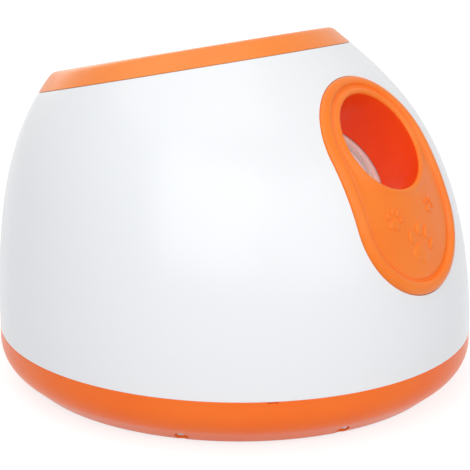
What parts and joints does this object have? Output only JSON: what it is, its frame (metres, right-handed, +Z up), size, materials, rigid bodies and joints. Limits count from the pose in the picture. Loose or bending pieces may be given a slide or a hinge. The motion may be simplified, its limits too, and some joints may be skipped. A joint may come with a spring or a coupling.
{
  "type": "automatic dog ball launcher",
  "caption": "Domed automatic ball launcher for dogs: a tilted funnel feeds a slanted barrel, where a motor-cocked spring piston fires balls out of a round outlet.",
  "frame": {"origin": "on the ground, under the centre of the object's bounding box", "axes": "+Z up; balls leave towards -Y; the control panel is on the +Y side; +X is on the right seen from the back"},
  "size_m": [0.3, 0.3014, 0.2194],
  "materials": {
    "shell_white": "white injection-moulded ABS, gloss",
    "rim_orange": "orange injection-moulded ABS, satin gloss",
    "panel_orange": "orange injection-moulded ABS, satin",
    "base_orange": "deep orange injection-moulded ABS, gloss",
    "button_white": "white moulded key cap",
    "lens_green": "tinted clear acrylic light pipe",
    "inner_white": "natural white moulded plastic",
    "soft_white": "off-white elastomer",
    "piston_white": "white acetal, as moulded",
    "black_rubber": "moulded rubber",
    "gear_nylon": "natural nylon",
    "dark_plastic": "black moulded plastic",
    "board_green": "glass-epoxy circuit board",
    "bush_brass": "turned brass",
    "cell_sleeve": "printed steel sleeve",
    "steel": "zinc-plated steel",
    "lead_red": "insulated wire",
    "lead_black": "insulated wire"
  },
  "bodies": {
    "launcher": {"main_housing": "shell_white", "base_tray": "base_orange", "hopper_funnel": "rim_orange", "outlet_bezel": "panel_orange", "launch_barrel": "inner_white", "barrel_cradle": "inner_white", "barrel_bumper": "soft_white", "barrel_end_cap": "inner_white", "spring_guide_rod": "steel", "main_spring": "steel", "second_gear_pin": "steel", "drive_motor": "steel", "motor_screws": "steel", "gearbox_left_plate": "dark_plastic", "gearbox_right_plate": "dark_plastic", "plate_spacers": "steel", "shaft_bushes": "bush_brass", "gearbox_screws": "steel", "ball_switch": "dark_plastic", "lever_pin": "steel", "switch_screws": "steel", "control_panel": "panel_orange", "led_lenses": "lens_green", "control_board": "board_green", "button_switches": "dark_plastic", "buzzer": "dark_plastic", "board_screws": "steel", "panel_screws": "steel", "power_socket": "dark_plastic", "socket_nut": "steel", "battery_cells": "cell_sleeve", "battery_contacts": "steel", "rubber_feet": "black_rubber", "base_screws": "steel", "bezel_screws": "steel", "hopper_screws": "steel", "barrel_screws": "steel", "cradle_screws": "steel", "end_cap_screws": "steel", "motor_leads": "lead_red", "battery_leads": "lead_black"},
    "piston": {"piston": "piston_white", "piston_ring": "black_rubber", "piston_rack": "gear_nylon", "rack_screws": "steel"},
    "sector_drive": {"sector_gear": "gear_nylon", "bull_gear": "gear_nylon", "drive_shaft": "steel"},
    "second_gear": {"second_gear": "gear_nylon"},
    "first_gear": {"first_gear": "gear_nylon", "first_gear_shaft": "steel"},
    "motor_rotor": {"motor_pinion": "gear_nylon"},
    "ball_lever": {"ball_lever": "steel"},
    "power_button": {"power_button": "button_white"},
    "distance_button": {"distance_button": "button_white"},
    "battery_door": {"battery_door": "base_orange", "door_screws": "steel"}
  },
  "joints": [
    {"name": "sector_turn", "type": "hinge", "parent": "launcher", "child": "sector_drive", "pos_m": [0, 0.02621, 0.11185], "axis": [1, 0, 0], "range_deg": [0, 143.25]},
    {"name": "piston_slide", "type": "slide", "parent": "launcher", "child": "piston", "axis": [0, 0.7547, -0.6561], "range_m": [0, 0.06], "stiffness_N_per_m": 600, "springref_m": -0.02, "deforming": ["main_spring"]},
    {"name": "second_gear_turn", "type": "hinge", "parent": "launcher", "child": "second_gear", "pos_m": [0.012, 0.04252, 0.09768], "axis": [1, 0, 0], "continuous": true},
    {"name": "first_gear_turn", "type": "hinge", "parent": "launcher", "child": "first_gear", "pos_m": [0, 0.05678, 0.08528], "axis": [1, 0, 0], "continuous": true},
    {"name": "motor_turn", "type": "hinge", "parent": "launcher", "child": "motor_rotor", "pos_m": [0.02, 0.06855, 0.07504], "axis": [1, 0, 0], "continuous": true},
    {"name": "ball_lever_turn", "type": "hinge", "parent": "launcher", "child": "ball_lever", "pos_m": [-0.037, -0.00981, 0.14052], "axis": [0, -0.6561, -0.7547], "range_deg": [0, 12], "stiffness_Nm_per_rad": 0.001, "springref_deg": -17.19},
    {"name": "power_button_press", "type": "slide", "parent": "launcher", "child": "power_button", "axis": [0, -1, 0], "range_m": [0, 0.001], "stiffness_N_per_m": 200, "springref_m": -0.0005},
    {"name": "distance_button_press", "type": "slide", "parent": "launcher", "child": "distance_button", "axis": [0, -1, 0], "range_m": [0, 0.001], "stiffness_N_per_m": 200, "springref_m": -0.0005},
    {"name": "battery_door_lift", "type": "slide", "parent": "launcher", "child": "battery_door", "axis": [0, 0, -1], "range_m": [0, 0.05]}
  ],
  "couplings": [
    {"joint": "sector_turn", "follows": "piston_slide", "rad_per_m": 41.667},
    {"joint": "second_gear_turn", "follows": "piston_slide", "rad_per_m": -145.83},
    {"joint": "first_gear_turn", "follows": "piston_slide", "rad_per_m": 510.42},
    {"joint": "motor_turn", "follows": "piston_slide", "rad_per_m": -1701.4}
  ]
}
